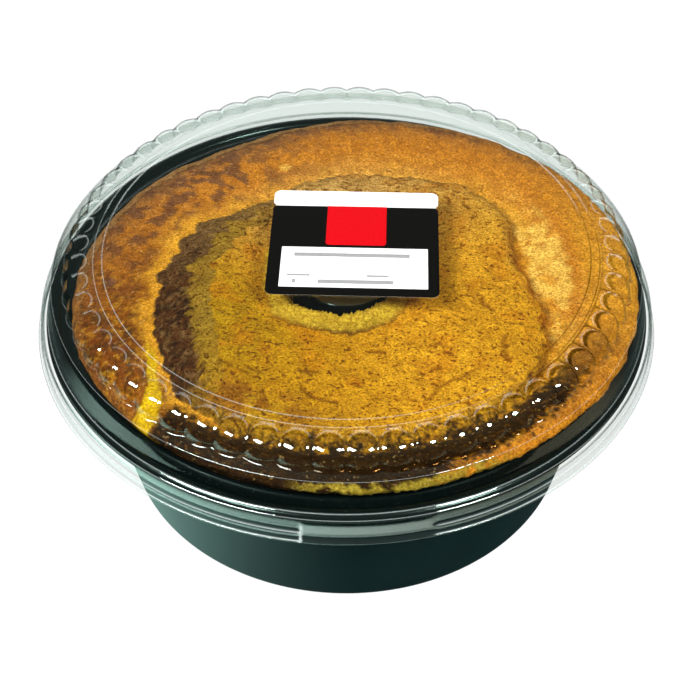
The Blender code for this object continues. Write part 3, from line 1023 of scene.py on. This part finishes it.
# %% Lid shape
def make_lid():
    """Spins the line, then presses in the creases between the lobes and the tab in the skirt."""
    shape, row = spin_line(LID_LINE, LID_STEPS)
    bend = shape.verts.layers.float.new("bend")
    rise = shape.verts.layers.float.new("rise")
    arc = shape.verts.layers.float.new("arc")
    skirt = shape.verts.layers.float.new("skirt")
    shade = shape.verts.layers.float.new("shade")
    first_lobe = len(TOP_LINE)
    first_skirt = first_lobe + len(LOBE_CRESTS) + len(WALL_LINE)
    for vert in shape.verts:
        number = vert[row]
        angle = math.atan2(vert.co.y, vert.co.x)
        vert[bend] = BENDS.get(number, 0.0)
        vert[arc] = -9.0
        if number < first_lobe:
            # painted shade: on the right the two fine steps are dark lines instead of bright ones
            dim = bell(angle, 345.0, 42.0)
            vert[shade] = 0.9 * dim if number in BENDS else 0.0
            vert[bend] *= 1.0 - 0.8 * dim
            continue
        vert[arc] = 9.0
        if number < first_lobe + len(LOBE_CRESTS):
            crest = LOBE_CRESTS[number - first_lobe]
            crease = LOBE_CREASES[number - first_lobe]
            pillow = abs(math.cos(angle * LOBES / 2.0)) ** 0.75
            radius, height = [c + (p - c) * pillow for p, c in zip(crest, crease)]
            lobe = angle * LOBES / (2.0 * math.pi)
            off = min(1.0, 2.0 * abs(lobe - round(lobe)))
            vert[arc] = radius - ARC_TOP - ARC_DROP * (1.0 - math.sqrt(max(0.0, 1.0 - (off / 0.9) ** 2)))
            vert[rise] = 0.05 + (crest[1] - crease[1]) * pillow
            # painted shade under the arcs and in the creases, strongest at the front right
            vert[shade] = min(1.0, bell(angle, 328.0, 24.0) + 0.35 * bell(angle, 262.0, 34.0))
            if number >= first_lobe + LOBE_FOOT:
                # painted shade: the foot of the lobes in front is darkened, which also hides the lamps'
                # glints on it
                dim = bell(angle, 285.0, 45.0)
                vert[rise] = 0.0
                vert[shade] = 0.65 * dim
                vert[bend] *= 1.0 - 0.8 * dim
        elif number >= first_skirt:
            plain = SKIRT_LINE[number - first_skirt]
            tab = TAB_LINE[number - first_skirt]
            degrees = math.degrees(angle)
            start, end = TAB_SIDES
            inside = soft_step(start - 0.4, start + 0.4, degrees)
            inside *= 1.0 - soft_step(end - 1.0, end + 1.0, degrees)
            # painted highlight: a bright line along the fold at the tab's start and along the tab's first
            # rows
            fold = soft_step(0.6, 0.2, abs(degrees - start))
            band = 0.54 * inside * (number < first_skirt + TAB_ROWS)
            vert[bend] = max(vert[bend] * (1.0 - 0.6 * inside), fold, band)
            vert[skirt] = 1.0
            radius, height = [p + (t - p) * inside for p, t in zip(plain, tab)]
        else:
            continue
        vert.co = (radius * math.cos(angle) * MM, radius * math.sin(angle) * MM, height * MM)
    return shape


# %% Lid finish
def lid_finish():
    """Clear sheet: see-through straight on, a mirror at a glance, with painted highlights as milky white
    lines and painted shade as dark crescents and lines.
    """
    made, shader, wires = new_finish("clear_sheet")
    tree = made.node_tree
    facing = wires.node("LayerWeight", {}, {"Blend": 0.5}, output=1)
    grazing = facing ** 5.0
    bend = noted(wires, "bend")
    rise = noted(wires, "rise")
    lobe = rise.step(0.0, 0.04)
    arc = noted(wires, "arc")
    arch = arc.step(-0.5, -0.1) * (1.0 - arc.step(0.1, 0.9)) * rise.step(0.30, 0.55)
    # painted highlights: the bends and the arcs at the lobes' inner ends become milky white lines
    line = bend ** 3.0 + 0.28 * arch
    groove = lobe * (1.0 - rise.step(0.05, 0.30))
    painted_lines_and_grooves = line * 0.30 + groove * 0.07
    shade = noted(wires, "shade")
    # painted shade: dark crescents under the arcs, dark creases and dark lines, drawn as a dark brown
    # mirror
    crescent = arc.step(0.7, 1.3) * (1.0 - arc.step(2.2, 3.6)) * rise.step(0.25, 0.6)
    dim = shade ** 2.0 * (1.0 - lobe) + shade * lobe * (crescent + 0.6 * groove)
    join(dim.step(0.0, 0.35).between((0.90, 1.0, 0.97), (0.10, 0.045, 0.01)), shader, "Base Color")
    skirt = noted(wires, "skirt")
    clear = wires.node("BsdfTransparent", {}, {"Color": (0.968, 0.990, 0.978, 1.0)})
    place = own_place(wires)
    ripple = speckle(wires, place, 45.0, 2.0) + speckle(wires, place, 260.0, 1.0) * lobe * 0.25
    bump = wires.node("Bump", {}, {"Strength": 0.14, "Distance": 0.0010, "Height": ripple})
    join(bump, shader, "Normal")
    # the painted highlight lines are a diffuse white instead of a mirror
    join(1.0 - line.step(0.0, 0.4) * 0.7, shader, "Metallic")
    shader.inputs["Roughness"].default_value = 0.04
    seen = 0.045 + 0.80 * grazing + painted_lines_and_grooves + 0.07 * skirt + 0.5 * dim
    mixed = wires.node("MixShader", {}, {0: seen, 1: clear})
    tree.links.new(shader.outputs[0], mixed.socket.node.inputs[2])
    tree.links.new(mixed.socket, tree.nodes["Material Output"].inputs["Surface"])
    return made


lid = add_wall(finish_mesh("lid_shell", make_lid(), lid_finish()), LID_SHEET, -1.0)
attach(lid, "root")
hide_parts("lid")
print("lid:", count_faces(lid), "triangles")

# %% [markdown]
# ## The paper label
#
# The label is satin printed paper: a white strip over a dark body, nicked at the sides where the two
# parts meet, with a red field and a white panel in the body. Its print is plain fields of colour and
# grey bars. The fields are drawn by arithmetic on the label's own coordinates, so their edges stay
# crisp at any distance.

# %% Label
LABEL_TURN = math.radians(-1.8)
LABEL_MIDDLE = (3.5, -0.4)
LABEL_HALF = 37.3  # half the label's width, in millimetres
LABEL_ENDS = (-36.2, 35.0)  # its lower and upper edge
LABEL_CORNER = 3.2
LABEL_NICK = 24.2  # height of the nicks at the sides, where the strip meets the body
NICK_CORNER = 2.2


def corner_points(x, y, radius, start):
    """A quarter circle about (x, y), anticlockwise from the start angle in degrees."""
    turns = [math.radians(start + 15.0 * step) for step in range(7)]
    return [(x + radius * math.cos(turn), y + radius * math.sin(turn)) for turn in turns]


def label_points():
    """Outline of the label in millimetres about its middle."""
    half = LABEL_HALF - LABEL_CORNER
    low, high = LABEL_ENDS
    inner = LABEL_HALF - NICK_CORNER
    right = corner_points(half, low + LABEL_CORNER, LABEL_CORNER, -90.0)
    right += corner_points(inner, LABEL_NICK - 0.4 - NICK_CORNER, NICK_CORNER, 0.0)[:5]
    right += [(LABEL_HALF - 1.0, LABEL_NICK)]
    right += corner_points(inner, LABEL_NICK + 0.4 + NICK_CORNER, NICK_CORNER, -90.0)[2:]
    right += corner_points(half, high - LABEL_CORNER, LABEL_CORNER, 0.0)
    return right + [(-x, y) for x, y in reversed(right)]


def make_label():
    """A face on the outline, drawn up by the paper's thickness, turned and set down on the lid."""
    shape = bmesh.new()
    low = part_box("label")[0].z
    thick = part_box("label")[1].z - low
    outline = [shape.verts.new((x * MM, y * MM, 0.0)) for x, y in label_points()]
    face = shape.faces.new(outline)
    drawn = bmesh.ops.extrude_face_region(shape, geom=[face])
    raised = [v for v in drawn["geom"] if isinstance(v, bmesh.types.BMVert)]
    bmesh.ops.translate(shape, verts=raised, vec=(0.0, 0.0, thick))
    turn = (math.cos(LABEL_TURN), math.sin(LABEL_TURN))
    for vert in shape.verts:
        x, y = vert.co.x, vert.co.y
        vert.co.x = LABEL_MIDDLE[0] * MM + x * turn[0] - y * turn[1]
        vert.co.y = LABEL_MIDDLE[1] * MM + x * turn[1] + y * turn[0]
        vert.co.z += low
    return shape


# %% Label finish
BARS = (
    (-26.0, 24.5, -11.0, -8.6), (-28.5, -18.5, -24.0, -22.8), (6.0, 15.5, -24.0, -22.8),
    (-26.0, -24.6, -28.6, -26.0), (-15.0, 17.5, -28.6, -26.2),
)  # grey bars on the white panel: left, right, low and high


def label_finish():
    """Printed fields on satin paper, measured in millimetres from the label's middle."""
    made, shader, wires = new_finish("printed_paper")
    place = own_place(wires)
    centre = (*[v * MM for v in LABEL_MIDDLE], 0.0)
    settings = {"vector_type": "TEXTURE"}
    turn = (0.0, 0.0, LABEL_TURN)
    sockets = {"Vector": place, "Location": centre, "Rotation": turn, "Scale": (MM, MM, MM)}
    own = wires.node("Mapping", settings, sockets)
    across = part_of(wires, own, 0)
    up = part_of(wires, own, 1)

    def field_of(left, right, low, high, corner=0.0):
        """1 inside a rounded box of the label, 0 outside it."""
        middle = ((left + right) / 2.0, (low + high) / 2.0)
        half = ((right - left) / 2.0 - corner, (high - low) / 2.0 - corner)
        offs = []
        for value, centre_value, size in zip((across, up), middle, half):
            off = wires.node("Math", {"operation": "ABSOLUTE"}, {0: value - centre_value})
            offs.append(wires.sum("MAXIMUM", off - size, 0.0))
        far = wires.node("Math", {"operation": "SQRT"}, {0: offs[0] * offs[0] + offs[1] * offs[1]})
        return 1.0 - far.step(max(0.0, corner - 0.05), corner + 0.10)

    fibre = speckle(wires, place, 700.0, 3.0)
    white = fibre.between(paint(240, 240, 238), paint(255, 255, 255))
    black = fibre.between(paint(3, 3, 2), paint(10, 10, 8))
    red = fibre.between(paint(188, 2, 12), paint(208, 8, 20))
    grey = fibre.between(paint(60, 60, 62), paint(104, 104, 106))
    print_colour = up.step(23.9, 24.1).between(black, white)
    print_colour = field_of(-12.6, 14.0, -3.0, 26.0, 1.6).between(print_colour, red)
    print_colour = field_of(-31.6, 32.4, -31.2, -4.8, 0.3).between(print_colour, white)
    print_colour = up.step(24.1, 24.3).between(print_colour, white)
    for left, right, low, high in BARS:
        mask = field_of(left, right, low, high, 0.4) * 0.75
        print_colour = mask.between(print_colour, grey)
    paper_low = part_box("label")[0].z
    height = part_of(wires, place, 2)
    bare = 1.0 - height.step(paper_low + 0.02 * MM, paper_low + 0.04 * MM)
    join(bare.between(print_colour, white), shader, "Base Color")
    join(0.38 + 0.14 * fibre, shader, "Roughness")
    shader.inputs["Specular IOR Level"].default_value = 0.12
    bump = wires.node("Bump", {}, {"Strength": 0.15, "Distance": 0.0001, "Height": fibre})
    join(bump, shader, "Normal")
    return made


label = finish_mesh("label_sheet", make_label(), label_finish(), sharp=40.0)
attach(label, "root")
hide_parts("label")
print("label:", count_faces(label), "triangles")
